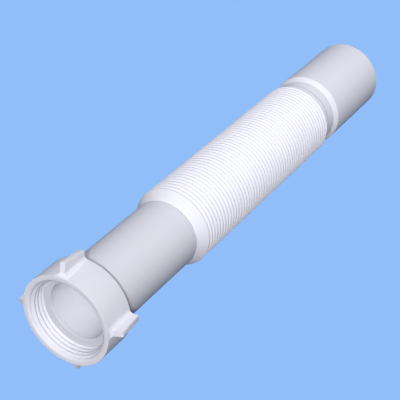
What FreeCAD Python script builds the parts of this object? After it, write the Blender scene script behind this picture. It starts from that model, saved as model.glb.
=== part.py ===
import FreeCAD, Part
import math
import os

# Flexible corrugated drain pipe with a winged coupling nut.
# Lengths are in millimetres. +X runs along the pipe from the nut to the end spigot, +Z is up.
# The origin is on the pipe's axis, at the face where the drain outlet seats.
# The pipe lies on its side, and the nut is turned so that its wings clear the ground.

# Thread of the nut, the standard size that the near end is built around
threadRadius = 23.9
threadOverrun = 0.1
chamberRelief = 0.3
mouthChamfer = 1.9

# Sealing washer and flange
washerThick = 3.0
washerClearance = 0.5
flangeThick = 3.5
flangeClearance = 0.7
flangeLip = 1.86

# Cuff, the smooth tube behind the nut
cuffWall = 3.64
cuffLength = 81.7
rollLength = 2.6
rollDepth = 1.6

# Corrugated length
collarLength = 6.5
crestRise = 3.76
ringPitch = 3.18
ringCount = 49
ringDepth = 1.7
bellowsWall = 1.2

# End spigot, the other standard size
spigotRadius = 25.0
spigotLength = 64.74
spigotWall = 2.6
spigotChamfer = 0.8

# Neck, sleeve and shoulder between the corrugated length and the spigot
neckFall = 1.4
neckLength = 2.28
neckRollLength = 3.9
neckRollDepth = 1.0
sleeveLength = 7.6
sleeveWall = 2.6
shoulderRise = 2.0
shoulderLength = 3.6

# Coupling nut
nutWall = 3.8
nutLength = 21.4
nutRearWall = 3.5
nutSeatGap = 0.3
nutHoleClearance = 0.3
nutEdgeRound = 0.8

# Wings of the nut
wingCount = 4
wingFirstAngle = 47.0
wingHeightFront = 6.5
wingHeightRear = 5.3
wingWidth = 3.2
wingFillet = 2.4
wingSetback = 2.5
wingFrontSlope = 1.0
wingRootSink = 1.5

# Radii that follow from the sizes above
chamberRadius = threadRadius + chamberRelief
flangeRadius = chamberRadius - flangeClearance
washerRadius = threadRadius - washerClearance
cuffRadius = flangeRadius - flangeLip
boreRadius = cuffRadius - cuffWall
valleyRadius = cuffRadius - rollDepth
crestRadius = cuffRadius + crestRise
bellowsBore = crestRadius - ringDepth - bellowsWall
sleeveRadius = spigotRadius - shoulderRise
sleeveBore = sleeveRadius - sleeveWall
neckRadius = sleeveRadius + neckRollDepth
spigotBore = spigotRadius - spigotWall
nutRadius = threadRadius + nutWall
nutHoleRadius = cuffRadius + nutHoleClearance
wingReachFront = nutRadius + wingHeightFront
wingReachRear = nutRadius + wingHeightRear

# Stations along the pipe
flangeFront = washerThick
flangeBack = flangeFront + flangeThick
valleyX = flangeBack + cuffLength
bellowsStart = valleyX + collarLength
bellowsEnd = bellowsStart + ringCount * ringPitch
neckStart = bellowsEnd + neckFall
neckEnd = neckStart + neckLength
sleeveStart = neckEnd + neckRollLength
shoulderStart = sleeveStart + sleeveLength
spigotStart = shoulderStart + shoulderLength
spigotEnd = spigotStart + spigotLength

nutRearInner = flangeBack + nutSeatGap
nutRear = nutRearInner + nutRearWall
nutFront = nutRear - nutLength

# The thread runs from the nut's mouth to just past the washer's face, which is at 0
threadEnd = threadOverrun

xAxis = FreeCAD.Vector(1, 0, 0)
centre = FreeCAD.Vector(0, 0, 0)


def inPlane(x, r):
    return FreeCAD.Vector(x, 0, r)


def line(start, end):
    return Part.LineSegment(start, end).toShape()


def polyline(points):
    return [line(a, b) for a, b in zip(points, points[1:])]


def arc(start, middle, end):
    return Part.Arc(start, middle, end).toShape()


def revolve(edges):
    face = Part.Face(Part.Wire(edges))
    return face.revolve(centre, xAxis, 360)


# An arc that starts level with the axis and falls towards +X, as a rolled edge does
def rollArc(x, r, length, depth):
    radius = (length ** 2 + depth ** 2) / (2 * depth)
    halfTurn = math.atan2(length, radius - depth) / 2
    middle = inPlane(x + radius * math.sin(halfTurn), r - radius * (1 - math.cos(halfTurn)))
    return arc(inPlane(x, r), middle, inPlane(x + length, r - depth))


def bellowsOutside():
    points = []
    for ring in range(ringCount):
        crestX = bellowsStart + ring * ringPitch
        points.append(inPlane(crestX, crestRadius))
        points.append(inPlane(crestX + ringPitch / 2, crestRadius - ringDepth))
    points.append(inPlane(bellowsEnd, crestRadius))
    return points


def pipeOutside():
    rollStart = valleyX - rollLength
    edges = polyline([
        inPlane(flangeFront, boreRadius),
        inPlane(flangeFront, flangeRadius),
        inPlane(flangeBack, flangeRadius),
        inPlane(flangeBack, cuffRadius),
        inPlane(rollStart, cuffRadius),
    ])
    edges.append(rollArc(rollStart, cuffRadius, rollLength, rollDepth))
    edges += polyline(
        [inPlane(valleyX, valleyRadius)]
        + bellowsOutside()
        + [inPlane(neckStart, neckRadius), inPlane(neckEnd, neckRadius)]
    )
    edges.append(rollArc(neckEnd, neckRadius, neckRollLength, neckRollDepth))
    edges += polyline([
        inPlane(sleeveStart, sleeveRadius),
        inPlane(shoulderStart, sleeveRadius),
        inPlane(spigotStart, spigotRadius),
        inPlane(spigotEnd - spigotChamfer, spigotRadius),
        inPlane(spigotEnd, spigotRadius - spigotChamfer),
    ])
    return edges


# The waterway, from the spigot back to the flange
def pipeInside():
    return polyline([
        inPlane(spigotEnd, spigotRadius - spigotChamfer),
        inPlane(spigotEnd, spigotBore),
        inPlane(spigotStart, spigotBore),
        inPlane(shoulderStart, sleeveBore),
        inPlane(neckStart, sleeveBore),
        inPlane(bellowsEnd - neckFall, bellowsBore),
        inPlane(bellowsStart + bellowsWall, bellowsBore),
        inPlane(valleyX + bellowsWall, boreRadius),
        inPlane(flangeFront, boreRadius),
    ])


def makePipe():
    return revolve(pipeOutside() + pipeInside())


def makeWasher():
    return revolve(polyline([
        inPlane(0, boreRadius),
        inPlane(0, washerRadius),
        inPlane(washerThick, washerRadius),
        inPlane(washerThick, boreRadius),
        inPlane(0, boreRadius),
    ]))


def makeNutRing():
    roundStart = nutRear - nutEdgeRound
    edges = polyline([
        inPlane(nutFront, threadRadius + mouthChamfer),
        inPlane(nutFront, nutRadius),
        inPlane(roundStart, nutRadius),
    ])
    edges.append(rollArc(roundStart, nutRadius, nutEdgeRound, nutEdgeRound))
    edges += polyline([
        inPlane(nutRear, nutRadius - nutEdgeRound),
        inPlane(nutRear, nutHoleRadius),
        inPlane(nutRearInner, nutHoleRadius),
        inPlane(nutRearInner, chamberRadius),
        inPlane(threadEnd, chamberRadius),
        inPlane(threadEnd, threadRadius),
        inPlane(nutFront + mouthChamfer, threadRadius),
        inPlane(nutFront, threadRadius + mouthChamfer),
    ])
    return revolve(edges)


# The wing's section across the pipe: a flat top, straight flanks and a fillet down to the nut
def wingSection():
    half = wingWidth / 2
    filletY = half + wingFillet
    filletZ = math.sqrt((nutRadius + wingFillet) ** 2 - filletY ** 2)
    toNut = math.atan2(filletY, filletZ)
    turnStart = math.pi
    turnEnd = 1.5 * math.pi - toNut
    turn = (turnStart + turnEnd) / 2
    footY = nutRadius * math.sin(toNut)
    footZ = nutRadius * math.cos(toNut)
    midY = filletY + wingFillet * math.cos(turn)
    midZ = filletZ + wingFillet * math.sin(turn)
    sinkZ = nutRadius - wingRootSink
    top = wingReachFront

    def at(y, z):
        return FreeCAD.Vector(nutFront, y, z)

    edges = polyline([at(-half, filletZ), at(-half, top), at(half, top), at(half, filletZ)])
    edges.append(arc(at(half, filletZ), at(midY, midZ), at(footY, footZ)))
    edges += polyline([at(footY, footZ), at(footY, sinkZ), at(-footY, sinkZ), at(-footY, footZ)])
    edges.append(arc(at(-footY, footZ), at(-midY, midZ), at(-half, filletZ)))
    return Part.Face(Part.Wire(edges)).extrude(xAxis * nutLength)


# The wing's outline seen from the side: a steep front and a top that falls to the rear
def wingOutline():
    sinkZ = nutRadius - wingRootSink
    footX = nutFront + wingSetback
    width = 2 * nutRadius
    points = [
        (footX, sinkZ),
        (footX, nutRadius),
        (footX + wingFrontSlope, wingReachFront),
        (nutRear - nutEdgeRound, wingReachRear),
        (nutRear - nutEdgeRound, sinkZ),
        (footX, sinkZ),
    ]
    corners = [FreeCAD.Vector(x, -width / 2, z) for x, z in points]
    face = Part.Face(Part.Wire(polyline(corners)))
    return face.extrude(FreeCAD.Vector(0, width, 0))


def makeNut():
    wing = wingSection().common(wingOutline())
    nut = makeNutRing()
    for index in range(wingCount):
        copy = wing.copy()
        copy.rotate(centre, xAxis, wingFirstAngle + index * 360 / wingCount)
        nut = nut.fuse(copy)
    return nut.removeSplitter()


os.makedirs("parts", exist_ok=True)
pieces = {
    "corrugated_pipe": makePipe(),
    "coupling_nut": makeNut(),
    "sealing_washer": makeWasher(),
}
for node, shape in pieces.items():
    print(node, "solids", len(shape.Solids), "valid", shape.isValid(), "mm3", round(shape.Volume))
    shape.exportStep("parts/" + node + ".step")
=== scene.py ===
import math

import bmesh
import bpy
from mathutils import Matrix, Vector


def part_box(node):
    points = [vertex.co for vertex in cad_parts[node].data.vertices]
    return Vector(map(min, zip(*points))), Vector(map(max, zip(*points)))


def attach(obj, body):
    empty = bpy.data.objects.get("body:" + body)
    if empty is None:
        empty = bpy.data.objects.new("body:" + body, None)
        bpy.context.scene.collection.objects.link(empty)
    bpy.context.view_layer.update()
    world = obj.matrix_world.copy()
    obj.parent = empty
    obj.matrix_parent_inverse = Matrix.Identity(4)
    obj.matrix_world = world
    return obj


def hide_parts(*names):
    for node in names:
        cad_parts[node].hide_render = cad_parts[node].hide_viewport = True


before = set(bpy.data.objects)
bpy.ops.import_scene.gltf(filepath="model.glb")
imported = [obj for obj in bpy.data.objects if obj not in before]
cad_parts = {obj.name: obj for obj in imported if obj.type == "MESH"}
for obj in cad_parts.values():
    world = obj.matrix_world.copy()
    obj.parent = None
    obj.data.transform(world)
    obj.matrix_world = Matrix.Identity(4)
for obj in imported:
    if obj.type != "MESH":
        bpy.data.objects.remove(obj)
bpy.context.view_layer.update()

# A flexible drain pipe that lies on its side, with a winged coupling nut at its near end.
# The sizes of the pieces are in millimetres, and +X runs along the pipe from the nut to the spigot.

mm = 0.001
fullTurn = 2 * math.pi
weldDistance = 1e-7
xAxis = Vector((1, 0, 0))
origin = Vector((0, 0, 0))
pipeLow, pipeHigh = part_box("corrugated_pipe")
nutLow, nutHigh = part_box("coupling_nut")
washerLow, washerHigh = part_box("sealing_washer")


# Camera, worked out from the rims and edges of the pipe in the photograph

photoView = {
    "imagePixels": 400,
    "lensPixels": 1155.4,
    "sensor": 36.0,
    "axisTilt": math.radians(46.668),   # how far the pipe leans away from the image plane
    "imageTurn": math.radians(41.207),  # how steeply the pipe rises in the image
    "distance": 706.57 * mm,
    "aimX": 127.7 * mm,                 # the point on the axis that the distance is measured to
    "aimSide": 2.31,                    # pixels from the image's centre to that point
    "nearest": 0.01,                    # metres from the camera between which things are drawn
    "farthest": 50.0,
}


def placeCamera(view):
    tilt = view["axisTilt"]
    alongPipe = Vector((math.cos(tilt), 0, math.sin(tilt)))
    away = Vector((math.sin(tilt), 0, -math.cos(tilt)))
    position = Vector((view["aimX"], 0, 0)) - away * view["distance"]
    turnBack = Matrix.Rotation(math.atan2(view["aimSide"], view["lensPixels"]), 3, alongPipe)
    forward = turnBack @ away
    sideways = forward.cross(alongPipe)
    up = alongPipe * math.sin(view["imageTurn"]) - sideways * math.cos(view["imageTurn"])
    right = forward.cross(up).normalized()
    up = right.cross(forward).normalized()
    data = bpy.data.cameras.new("photoCamera")
    data.sensor_width = view["sensor"]
    data.lens = view["sensor"] * view["lensPixels"] / view["imagePixels"]
    data.clip_start = view["nearest"]
    data.clip_end = view["farthest"]
    camera = bpy.data.objects.new("photoCamera", data)
    bpy.context.scene.collection.objects.link(camera)
    rotation = Matrix((right, up, -forward)).transposed()
    camera.matrix_world = Matrix.Translation(position) @ rotation.to_4x4()
    bpy.context.scene.camera = camera


placeCamera(photoView)
print("camera placed")


# Shader maths: a wire is a node's output that adds, subtracts and multiplies as a number does

class Wire:
    def __init__(self, shader, socket):
        self.shader = shader
        self.socket = socket

    def combine(self, operation, first, second):
        return self.shader.add("ShaderNodeMath", {"operation": operation}, {0: first, 1: second})

    def __add__(self, other):
        return self.combine("ADD", self, other)

    def __radd__(self, other):
        return self.combine("ADD", other, self)

    def __sub__(self, other):
        return self.combine("SUBTRACT", self, other)

    def __mul__(self, other):
        return self.combine("MULTIPLY", self, other)


# The node tree of a material or a world
class Shader:
    def __init__(self, owner):
        owner.use_nodes = True
        self.tree = owner.node_tree
        self.tree.nodes.clear()

    def add(self, kind, settings, inputs, output=0):
        node = self.tree.nodes.new(kind)
        for key, value in settings.items():
            if key == "stops":
                for stop, (place, level) in zip(node.color_ramp.elements, value):
                    stop.position = place
                    stop.color = (level, level, level, 1)
            else:
                setattr(node, key, value)
        for key, value in inputs.items():
            if isinstance(value, Wire):
                self.tree.links.new(value.socket, node.inputs[key])
            else:
                node.inputs[key].default_value = value
        return Wire(self, node.outputs[output])

    def finish(self, surface, kind="ShaderNodeOutputMaterial"):
        output = self.tree.nodes.new(kind)
        self.tree.links.new(surface.socket, output.inputs["Surface"])


# The mix node's inputs 6 and 7 and its output 2 are its colours
def mixColours(shader, factor, first, second):
    return shader.add("ShaderNodeMix", {"data_type": "RGBA"}, {0: factor, 6: first, 7: second}, 2)


# Moulded plastic: a satin skin with a faint cloud in its colour and shine, and a fine moulding grain

pipePlastic = {
    "colour": (0.81, 0.81, 0.885, 1),
    "cloudColour": (0.797, 0.797, 0.87, 1),
    "cloudScale": 38.0,
    "cloudStops": [(0.35, 0.0), (0.7, 1.0)],
    "roughness": 0.58,
    "cloudShine": 0.08,           # how much the cloud and the grain change the roughness
    "grainShine": 0.05,
    "grainScale": 2600.0,
    "grainHeight": 0.010 * mm,
    "waveScale": 55.0,
    "waveHeight": 0.04 * mm,
    "specular": 0.2,
    "refraction": 1.49,
}
nutPlastic = dict(pipePlastic, cloudScale=60.0, roughness=0.54, grainScale=3200.0)
# The washer: its colours are darker than the pipe's as painted shade, which dims its face down in
# the nut's mouth; only the wall of its bore keeps the pipe's colour
washerPaintedShadeLook = dict(
    pipePlastic,
    colour=(0.645, 0.645, 0.697, 1),
    cloudColour=(0.632, 0.632, 0.683, 1),
    cloudScale=90.0,
    roughness=0.66,
    cloudShine=0.06,
    grainScale=4200.0,
    grainHeight=0.016 * mm,
    waveScale=80.0,
    waveHeight=0.03 * mm,
    boreColour=pipePlastic["colour"],  # the wall of its bore is as pale as the pipe's
    boreWithin=18.1 * mm,              # the radius within which a face is that wall
)
noiseShapes = {
    "cloud": {"Detail": 3.0, "Roughness": 0.55},
    "grain": {"Detail": 1.0, "Roughness": 0.5},
    "wave": {"Detail": 1.0, "Roughness": 0.4},
}
noiseMiddle = 0.5


def skinNoise(shader, place, look, kind):
    inputs = dict(noiseShapes[kind], Vector=place, Scale=look[kind + "Scale"])
    return shader.add("ShaderNodeTexNoise", {}, inputs)


# Gives the bore of a piece another colour than its other faces. On the washer this keeps the wall of
# its bore the pipe's pale colour, while its face keeps the painted shade of its darker colour.
def colourBore(shader, place, look, colour):
    across = shader.add("ShaderNodeVectorMath", {"operation": "MULTIPLY"}, {0: place, 1: (0, 1, 1)})
    radius = shader.add("ShaderNodeVectorMath", {"operation": "LENGTH"}, {0: across}, "Value")
    within = {0: radius, 1: look["boreWithin"]}
    inBore = shader.add("ShaderNodeMath", {"operation": "LESS_THAN"}, within)
    return mixColours(shader, inBore, colour, look["boreColour"])


def mouldedSkin(name, look):
    material = bpy.data.materials.new(name)
    shader = Shader(material)
    place = shader.add("ShaderNodeTexCoord", {}, {}, "Object")
    cloud = skinNoise(shader, place, look, "cloud")
    grain = skinNoise(shader, place, look, "grain")
    wave = skinNoise(shader, place, look, "wave")
    mask = shader.add("ShaderNodeValToRGB", {"stops": look["cloudStops"]}, {"Fac": cloud})
    colour = mixColours(shader, mask, look["colour"], look["cloudColour"])
    if "boreColour" in look:
        colour = colourBore(shader, place, look, colour)
    roughness = look["roughness"] + (cloud - noiseMiddle) * look["cloudShine"]
    roughness = roughness + (grain - noiseMiddle) * look["grainShine"]
    relief = grain * look["grainHeight"] + wave * look["waveHeight"]
    normal = shader.add("ShaderNodeBump", {}, {"Height": relief, "Strength": 1.0, "Distance": 1.0})
    shader.finish(shader.add("ShaderNodeBsdfPrincipled", {}, {
        "Base Color": colour, "Roughness": roughness, "Normal": normal,
        "Specular IOR Level": look["specular"], "IOR": look["refraction"]}))
    return material


pipeMaterial = mouldedSkin("pipe_plastic", pipePlastic)
nutMaterial = mouldedSkin("nut_plastic", nutPlastic)
# The washer's material: its darker colour is painted shade on the washer's face
washerMaterial = mouldedSkin("washer_rubber_painted_shade", washerPaintedShadeLook)
print("materials made")


# Shared ways of making a piece

def addPiece(name, build, material, sharpAngle=25.0):
    mesh = bpy.data.meshes.new(name)
    build.to_mesh(mesh)
    build.free()
    piece = bpy.data.objects.new(name, mesh)
    bpy.context.scene.collection.objects.link(piece)
    for face in mesh.polygons:
        face.use_smooth = True
    mesh.set_sharp_from_angle(angle=math.radians(sharpAngle))
    mesh.materials.append(material)
    return piece


# Takes a closed outline of (x, radius, rounding) corners and gives its (x, radius) points,
# with an arc of short runs at each rounded corner. An arc takes up at most sideShare of a side.
def roundCorners(corners, runsPerQuarter=4, sideShare=0.45):
    points = []
    for index, (x, r, rounding) in enumerate(corners):
        corner = Vector((x, r))
        if not rounding:
            points.append(corner)
            continue
        back = Vector(corners[index - 1][:2]) - corner
        ahead = Vector(corners[(index + 1) % len(corners)][:2]) - corner
        half = back.angle(ahead) / 2
        reach = min(rounding / math.tan(half), back.length * sideShare, ahead.length * sideShare)
        inward = (back.normalized() + ahead.normalized()).normalized()
        middle = corner + inward * reach / math.cos(half)
        first = corner + back.normalized() * reach - middle
        last = corner + ahead.normalized() * reach - middle
        turn = math.copysign(math.pi - 2 * half, first.cross(last))
        runs = max(1, round(runsPerQuarter * abs(turn) / (fullTurn / 4)))
        for run in range(runs + 1):
            points.append(middle + Matrix.Rotation(turn * run / runs, 2) @ first)
    return points


# Spins a closed outline of (x, radius) points round the pipe's axis
def spinOutline(points, steps):
    build = bmesh.new()
    corners = [build.verts.new((x * mm, 0, r * mm)) for x, r in points]
    edges = [build.edges.new((a, b)) for a, b in zip(corners, corners[1:] + corners[:1])]
    bmesh.ops.spin(build, geom=corners + edges, cent=origin, axis=xAxis, dvec=origin,
                   angle=fullTurn, steps=steps, use_merge=True, use_duplicate=False)
    bmesh.ops.remove_doubles(build, verts=build.verts, dist=weldDistance)
    bmesh.ops.recalc_face_normals(build, faces=build.faces)
    return build


# The corrugated pipe, one moulding from the flange to the spigot

pipe = {
    "steps": 96,
    "flangeRadius": 23.5,
    "flangeThick": 3.5,
    "flangeLip": 1.86,     # how far the flange stands above the cuff
    "edgeRound": 0.35,
    "cuffWall": 3.64,
    "rollLength": 2.6,     # the cuff's rolled edge
    "rollDepth": 1.6,
    "collarLength": 6.5,   # the cone from there up to the first ring
    "crestRise": 3.76,     # how far the rings' crests stand above the cuff
    "crestLand": 0.8,      # the flat top of a crest
    "crestRound": 0.25,
    "grooveRound": 0.2,
    "ringPitch": 3.18,
    "ringCount": 49,
    "ringDepth": 1.7,
    "bellowsWall": 1.2,
    "neckFall": 1.4,
    "neckLength": 2.28,
    "neckRound": 0.3,
    "neckRollLength": 3.9,
    "neckRollDepth": 1.0,
    "sleeveLength": 7.6,
    "sleeveWall": 2.6,
    "shoulderRise": 2.0,
    "shoulderLength": 3.6,
    "spigotRadius": 25.0,
    "spigotLength": 64.74,
    "spigotWall": 2.6,
    "endRound": 0.3,
}
pipe["cuffRadius"] = pipe["flangeRadius"] - pipe["flangeLip"]
pipe["boreRadius"] = pipe["cuffRadius"] - pipe["cuffWall"]
pipe["crestRadius"] = pipe["cuffRadius"] + pipe["crestRise"]
pipe["sleeveRadius"] = pipe["spigotRadius"] - pipe["shoulderRise"]
pipe["sleeveBore"] = pipe["sleeveRadius"] - pipe["sleeveWall"]
pipe["neckRadius"] = pipe["sleeveRadius"] + pipe["neckRollDepth"]
pipe["spigotBore"] = pipe["spigotRadius"] - pipe["spigotWall"]

# Stations along the pipe, counted back from the spigot's end
pipe["flangeFront"] = pipeLow.x / mm
pipe["spigotEnd"] = pipeHigh.x / mm
pipe["spigotStart"] = pipe["spigotEnd"] - pipe["spigotLength"]
pipe["shoulderStart"] = pipe["spigotStart"] - pipe["shoulderLength"]
pipe["neckEnd"] = pipe["shoulderStart"] - pipe["sleeveLength"] - pipe["neckRollLength"]
pipe["neckStart"] = pipe["neckEnd"] - pipe["neckLength"]
pipe["bellowsEnd"] = pipe["neckStart"] - pipe["neckFall"]
pipe["bellowsStart"] = pipe["bellowsEnd"] - pipe["ringCount"] * pipe["ringPitch"]
pipe["valleyX"] = pipe["bellowsStart"] - pipe["collarLength"]


# The rings' corners: a narrow land on each crest and a groove between two crests
def ringCorners(size, wall, crestRound, grooveRound):
    corners = []
    crest = size["crestRadius"] - wall
    groove = crest - size["ringDepth"]
    half = size["crestLand"] / 2
    for ring in range(size["ringCount"] + 1):
        crestX = size["bellowsStart"] + ring * size["ringPitch"]
        corners += [(crestX - half, crest, crestRound), (crestX + half, crest, crestRound)]
        if ring < size["ringCount"]:
            corners.append((crestX + size["ringPitch"] / 2, groove, grooveRound))
    return corners


# An arc that starts level with the axis and falls towards +X, as a rolled edge does
def rollCorners(x, r, length, depth, runs=8):
    radius = (length ** 2 + depth ** 2) / (2 * depth)
    turn = math.atan2(length, radius - depth)
    turns = [turn * run / runs for run in range(runs + 1)]
    return [(x + radius * math.sin(turn), r - radius * (1 - math.cos(turn)), 0) for turn in turns]


# The outside from the flange to the spigot's end, then the waterway back to the flange
def pipeCorners(size):
    front, end = size["flangeFront"], size["spigotEnd"]
    back, valley = front + size["flangeThick"], size["valleyX"]
    bore, flange, cuff = size["boreRadius"], size["flangeRadius"], size["cuffRadius"]
    sleeve, sleeveBore, neck = size["sleeveRadius"], size["sleeveBore"], size["neckRadius"]
    spigot, spigotBore = size["spigotRadius"], size["spigotBore"]
    edge, endRound = size["edgeRound"], size["endRound"]
    corners = [(front, bore, edge), (front, flange, edge), (back, flange, edge), (back, cuff, edge)]
    corners += rollCorners(valley - size["rollLength"], cuff, size["rollLength"], size["rollDepth"])
    corners += ringCorners(size, 0, size["crestRound"], size["grooveRound"])
    corners.append((size["neckStart"], neck, size["neckRound"]))
    corners += rollCorners(size["neckEnd"], neck, size["neckRollLength"], size["neckRollDepth"])
    corners += [(size["shoulderStart"], sleeve, 0), (size["spigotStart"], spigot, 0)]
    corners += [(end, spigot, endRound), (end, spigotBore, endRound)]
    corners += [(size["spigotStart"], spigotBore, 0), (size["shoulderStart"], sleeveBore, 0)]
    corners.append((size["neckStart"], sleeveBore, 0))
    corners += reversed(ringCorners(size, size["bellowsWall"], 0, 0))
    corners.append((valley + size["bellowsWall"], bore, 0))
    return corners


def makePipe():
    build = spinOutline(roundCorners(pipeCorners(pipe)), pipe["steps"])
    piece = addPiece("pipe_moulding", build, pipeMaterial)
    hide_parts("corrugated_pipe")
    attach(piece, "pipe")


makePipe()
print("pipe made")


# The coupling nut: a ring that is threaded inside, with four wings outside

nut = {
    "steps": 120,
    "runsPerQuarter": 8,
    "threadRadius": 23.9,
    "threadEnd": 0.1,      # just past the washer's face, which is at 0
    "chamberRelief": 0.3,
    "wall": 3.8,
    "rearWall": 3.5,
    "holeClearance": 0.3,
    "mouthRound": 1.71,
    "rimRound": 0.2,
    "edgeRound": 0.8,
}
nut["front"] = nutLow.x / mm
nut["rear"] = nutHigh.x / mm
nut["outerRadius"] = nut["threadRadius"] + nut["wall"]
nut["chamberRadius"] = nut["threadRadius"] + nut["chamberRelief"]
nut["holeRadius"] = pipe["cuffRadius"] + nut["holeClearance"]


def nutCorners(size):
    front, rear, rim = size["front"], size["rear"], size["rimRound"]
    inner, threadEnd = rear - size["rearWall"], size["threadEnd"]
    outer, hole = size["outerRadius"], size["holeRadius"]
    bore, chamber = size["threadRadius"], size["chamberRadius"]
    return [
        (front, bore, size["mouthRound"]), (front, outer, rim), (rear, outer, size["edgeRound"]),
        (rear, hole, rim), (inner, hole, 0), (inner, chamber, 0), (threadEnd, chamber, 0),
        (threadEnd, bore, 0),
    ]


# The nut's wings

wing = {
    "count": 4,
    "firstAngle": math.radians(47),
    "width": 3.2,
    "fillet": 2.4,
    "filletRuns": 6,
    "heightFront": 6.5,
    "heightRear": 5.3,
    "setback": 2.5,        # from the nut's front to the foot of the wing's front
    "frontSlope": 2.0,
    "rootSink": 1.5,       # how deep the wing's foot stands in the nut's wall
    "edgeRound": 0.3,
    "edgeRuns": 3,
    "edgeAngle": math.radians(25),
}


# Cuts away what lies beyond a plane and closes the cut
def cutBlock(build, point, outward):
    geometry = build.verts[:] + build.edges[:] + build.faces[:]
    cut = bmesh.ops.bisect_plane(build, geom=geometry, plane_co=point, plane_no=outward,
                                 clear_outer=True, dist=weldDistance)
    rim = [item for item in cut["geom_cut"] if isinstance(item, bmesh.types.BMEdge)]
    bmesh.ops.holes_fill(build, edges=rim)


# Half of the wing's section across the pipe: the top, a straight flank and a fillet down to the nut
def wingFlank(size, outer):
    filletY = size["width"] / 2 + size["fillet"]
    filletZ = math.sqrt((outer + size["fillet"]) ** 2 - filletY ** 2)
    firstTurn = math.pi
    lastTurn = 1.5 * math.pi - math.atan2(filletY, filletZ)
    flank = [(size["width"] / 2, outer + size["heightFront"])]
    for run in range(size["filletRuns"] + 1):
        turn = firstTurn + (lastTurn - firstTurn) * run / size["filletRuns"]
        y = filletY + size["fillet"] * math.cos(turn)
        z = filletZ + size["fillet"] * math.sin(turn)
        flank.append((y, z))
    flank.append((y, outer - size["rootSink"]))
    return flank


# One wing as a closed block: its section is pulled along the nut, then cut to its side outline
def wingBlock(size, ring):
    outer = ring["outerRadius"]
    flank = wingFlank(size, outer)
    section = flank + [(-y, z) for y, z in reversed(flank)]
    frontX = ring["front"] * mm
    footX = (ring["front"] + size["setback"]) * mm
    rearX = (ring["rear"] - ring["edgeRound"]) * mm
    build = bmesh.new()
    corners = [build.verts.new((frontX, y * mm, z * mm)) for y, z in section]
    grown = bmesh.ops.extrude_face_region(build, geom=[build.faces.new(corners)])
    moved = [item for item in grown["geom"] if isinstance(item, bmesh.types.BMVert)]
    bmesh.ops.translate(build, verts=moved, vec=(rearX - frontX, 0, 0))
    rise = size["heightFront"] * mm
    run = size["frontSlope"] * mm
    drop = (size["heightFront"] - size["heightRear"]) * mm
    topX = footX + run
    cutBlock(build, (footX, 0, outer * mm), Vector((-rise, 0, run)))
    cutBlock(build, (topX, 0, outer * mm + rise), Vector((drop, 0, rearX - topX)))
    bmesh.ops.recalc_face_normals(build, faces=build.faces)
    return build


def roundWingEdges(build, size, ring):
    limit = (ring["outerRadius"] + size["fillet"]) * mm
    edges = []
    for edge in build.edges:
        high = all(vert.co.z > limit for vert in edge.verts)
        if high and len(edge.link_faces) == 2 and edge.calc_face_angle() > size["edgeAngle"]:
            edges.append(edge)
    bmesh.ops.bevel(build, geom=edges, offset=size["edgeRound"] * mm, offset_type="OFFSET",
                    affect="EDGES", segments=size["edgeRuns"], profile=0.5, material=-1,
                    clamp_overlap=True)


# Fuses a closed piece into another one, so that no wall is left inside
def joinPiece(piece, tool):
    union = piece.modifiers.new("union", "BOOLEAN")
    union.operation = "UNION"
    union.solver = "EXACT"
    union.object = tool
    shapes = bpy.context.evaluated_depsgraph_get()
    joined = bpy.data.meshes.new_from_object(piece.evaluated_get(shapes))
    piece.modifiers.clear()
    old = piece.data
    piece.data = joined
    joined.name = old.name
    bpy.data.meshes.remove(old)
    bpy.data.objects.remove(tool)


def makeNut():
    build = spinOutline(roundCorners(nutCorners(nut), nut["runsPerQuarter"]), nut["steps"])
    piece = addPiece("nut_moulding", build, nutMaterial)
    for index in range(wing["count"]):
        build = wingBlock(wing, nut)
        roundWingEdges(build, wing, nut)
        turn = wing["firstAngle"] + index * fullTurn / wing["count"]
        bmesh.ops.rotate(build, verts=build.verts, cent=origin, matrix=Matrix.Rotation(turn, 3, "X"))
        joinPiece(piece, addPiece("wing_block", build, nutMaterial))
    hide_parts("coupling_nut")
    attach(piece, "nut")


makeNut()
print("nut made")


# The internal thread: a ridge that winds along the nut's bore

thread = {
    "pitch": 2.8,
    "turns": 4.18,
    "stepsPerTurn": 72,
    "height": 1.3,
    "frontRun": 2.1,      # the long flank, which faces the mouth
    "backRun": 0.6,
    "crestHalf": 0.15,
    "sink": 1.5,          # how deep the ridge's foot stands in the nut's wall
    "startGap": 0.6,      # from the nut's front to the first crest
    "rimGap": 0.3,        # the ridge keeps this far behind the nut's front
    "washerGap": 0.2,     # and this far before the washer
    "squash": 0.05,       # what is left there of the section's run
    "startTurn": 0.686,   # where round the bore the ridge starts
    "fadeTurns": 0.15,    # the part of a turn over which it sinks into the wall at an end
    "leadIn": 1.9,        # the ridge is cut back at 45 degrees from here at the mouth
    "leadInRidge": 0.5,   # what that cut leaves of the ridge's height
    "tuck": 0.02,         # keeps what is cut back just inside the wall
    "sharpAngle": 30.0,
}
thread["wall"] = nut["threadRadius"]
thread["startX"] = nut["front"] + thread["startGap"]
thread["lastX"] = washerLow.x / mm - thread["washerGap"]


def ridgeSection(size):
    foot, wall, crest = size["wall"] + size["sink"], size["wall"], size["wall"] - size["height"]
    front, back, top = -size["frontRun"], size["backRun"], size["crestHalf"]
    return [(front, foot), (front, wall), (-top, crest), (top, crest), (back, wall), (back, foot)]


# How many turns along the ridge a point lies, from its angle and its place along the bore
def turnsAlong(size, point):
    turn = math.atan2(-point.y, point.z) / fullTurn
    middle = (size["backRun"] - size["frontRun"]) / 2
    along = (point.x / mm - size["startX"] - middle) / size["pitch"]
    return turn + round(along - turn)


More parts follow.
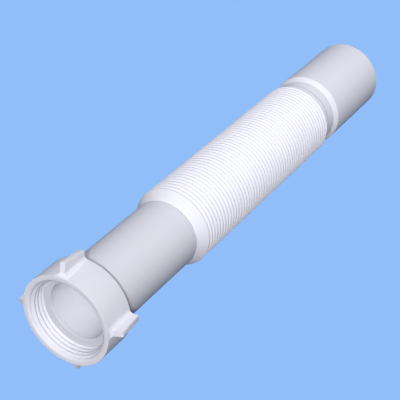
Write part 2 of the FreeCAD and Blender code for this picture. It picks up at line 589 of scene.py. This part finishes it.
# Where a point of the plain ridge goes: the ridge sinks into the wall at both its ends, is cut
# back behind the mouth's round lip and stops short of the washer
def settlePoint(size, point):
    turns = turnsAlong(size, point)
    fade = min(1.0, turns / size["fadeTurns"], (size["turns"] - turns) / size["fadeTurns"])
    shown = max(0.0, fade)
    radius = math.hypot(point.y, point.z) / mm
    x = max(point.x / mm, nut["front"] + size["rimGap"])
    x = min(x, size["lastX"] + (x - size["lastX"]) * size["squash"])
    leadIn = size["wall"] + size["leadIn"] + size["tuck"] - (x - nut["front"])
    if radius < size["wall"] - size["tuck"]:
        leadIn -= size["leadInRidge"] * shown
    sunk = radius + (1 - shown) * size["height"]
    stretch = max(sunk, leadIn) / radius
    return Vector((x * mm, point.y * stretch, point.z * stretch))


def makeThread():
    build = bmesh.new()
    section = [(thread["startX"] + x, r) for x, r in ridgeSection(thread)]
    corners = [build.verts.new((x * mm, 0, r * mm)) for x, r in section]
    steps = round(thread["stepsPerTurn"] * thread["turns"])
    advance = thread["pitch"] / thread["stepsPerTurn"] * mm
    bmesh.ops.spin(build, geom=[build.faces.new(corners)], cent=origin, axis=xAxis,
                   dvec=(advance, 0, 0), angle=fullTurn * thread["turns"], steps=steps,
                   use_merge=False, use_duplicate=False)
    for vert in build.verts:
        vert.co = settlePoint(thread, vert.co)
    start = Matrix.Rotation(fullTurn * thread["startTurn"], 3, "X")
    bmesh.ops.rotate(build, verts=build.verts, cent=origin, matrix=start)
    bmesh.ops.recalc_face_normals(build, faces=build.faces)
    piece = addPiece("nut_thread", build, nutMaterial, thread["sharpAngle"])
    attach(piece, "nut")


makeThread()
print("thread made")


# The sealing washer, a flat ring against the pipe's flange

washer = {
    "steps": 96,
    "boreRadius": pipe["boreRadius"],
    "clearance": 0.5,
    "outerRound": 0.3,
    "boreRound": 0.12,
}
washer["radius"] = nut["threadRadius"] - washer["clearance"]


def washerCorners(size):
    front, back = washerLow.x / mm, washerHigh.x / mm
    bore, outer = size["boreRadius"], size["radius"]
    return [(front, bore, size["boreRound"]), (front, outer, size["outerRound"]),
            (back, outer, 0), (back, bore, 0)]


def makeWasher():
    build = spinOutline(roundCorners(washerCorners(washer)), washer["steps"])
    piece = addPiece("washer_ring", build, washerMaterial)
    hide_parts("sealing_washer")
    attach(piece, "pipe")


makeWasher()
print("washer made")


# Floor: it touches the nut and the spigot's end, as the pipe lies

ground = {
    "size": 8.0,                        # metres
    "seen": (0.283, 0.515, 0.947, 1),   # the photograph's pale blue ground
    "bounce": (0.12, 0.12, 0.13, 1),    # the colour that it throws back at the pipe
}


# What the camera or a reflection sees is the pale ground, and what lights the pipe is a dark one
def seenRays(shader):
    camera = shader.add("ShaderNodeLightPath", {}, {}, "Is Camera Ray")
    glossy = shader.add("ShaderNodeLightPath", {}, {}, "Is Glossy Ray")
    through = shader.add("ShaderNodeLightPath", {}, {}, "Is Transmission Ray")
    return camera + glossy + through


def floorMaterial():
    material = bpy.data.materials.new("pale_floor")
    shader = Shader(material)
    shown = shader.add("ShaderNodeEmission", {}, {"Color": ground["seen"], "Strength": 1.0})
    plain = shader.add("ShaderNodeBsdfDiffuse", {}, {"Color": ground["bounce"]})
    shader.finish(shader.add("ShaderNodeMixShader", {}, {0: seenRays(shader), 1: plain, 2: shown}))
    return material


def makeFloor():
    rest = Vector((nutHigh.x - nut["edgeRound"] * mm, 0, -nut["outerRadius"] * mm))
    far = Vector((pipeHigh.x, 0, -pipe["spigotRadius"] * mm))
    lean = math.atan2(far.z - rest.z, far.x - rest.x)
    build = bmesh.new()
    bmesh.ops.create_grid(build, x_segments=1, y_segments=1, size=ground["size"] / 2)
    bmesh.ops.rotate(build, verts=build.verts, cent=origin, matrix=Matrix.Rotation(-lean, 3, "Y"))
    bmesh.ops.translate(build, verts=build.verts, vec=rest)
    addPiece("floor", build, floorMaterial())


makeFloor()
print("floor made")


# Lamps, each with the direction that it stands in and its width in degrees as its softness

# The front lamp stands almost behind the camera, so that its shadows hide behind the pipe, as in
# the photograph. The top lamp is soft and models the round, and the back lamp lights the far faces.
lamps = {
    "front": {"from": Vector((-0.72, 0.0, 0.69)), "strength": 2.9, "softness": 10},
    "top": {"from": Vector((0.0, 0.50, 0.87)), "strength": 0.95, "softness": 40},
    "back": {"from": Vector((1.0, 0.0, 0.05)), "strength": 0.4, "softness": 20},
}
fillLight = (0.020, 0.022, 0.030, 1)


def placeLamps():
    for name, lamp in lamps.items():
        data = bpy.data.lights.new(name + "Lamp", "SUN")
        data.energy = lamp["strength"]
        data.angle = math.radians(lamp["softness"])
        holder = bpy.data.objects.new(name + "Lamp", data)
        bpy.context.scene.collection.objects.link(holder)
        holder.rotation_euler = lamp["from"].to_track_quat("Z", "Y").to_euler()
        holder.location = lamp["from"]


def placeWorld():
    world = bpy.data.worlds.new("studio")
    bpy.context.scene.world = world
    shader = Shader(world)
    fill = shader.add("ShaderNodeBackground", {}, {"Color": fillLight, "Strength": 1.0})
    seen = shader.add("ShaderNodeBackground", {}, {"Color": ground["seen"], "Strength": 1.0})
    shown = shader.add("ShaderNodeMixShader", {}, {0: seenRays(shader), 1: fill, 2: seen})
    shader.finish(shown, "ShaderNodeOutputWorld")


placeLamps()
placeWorld()
bpy.context.scene.view_settings.view_transform = "Standard"
print("lamps placed")
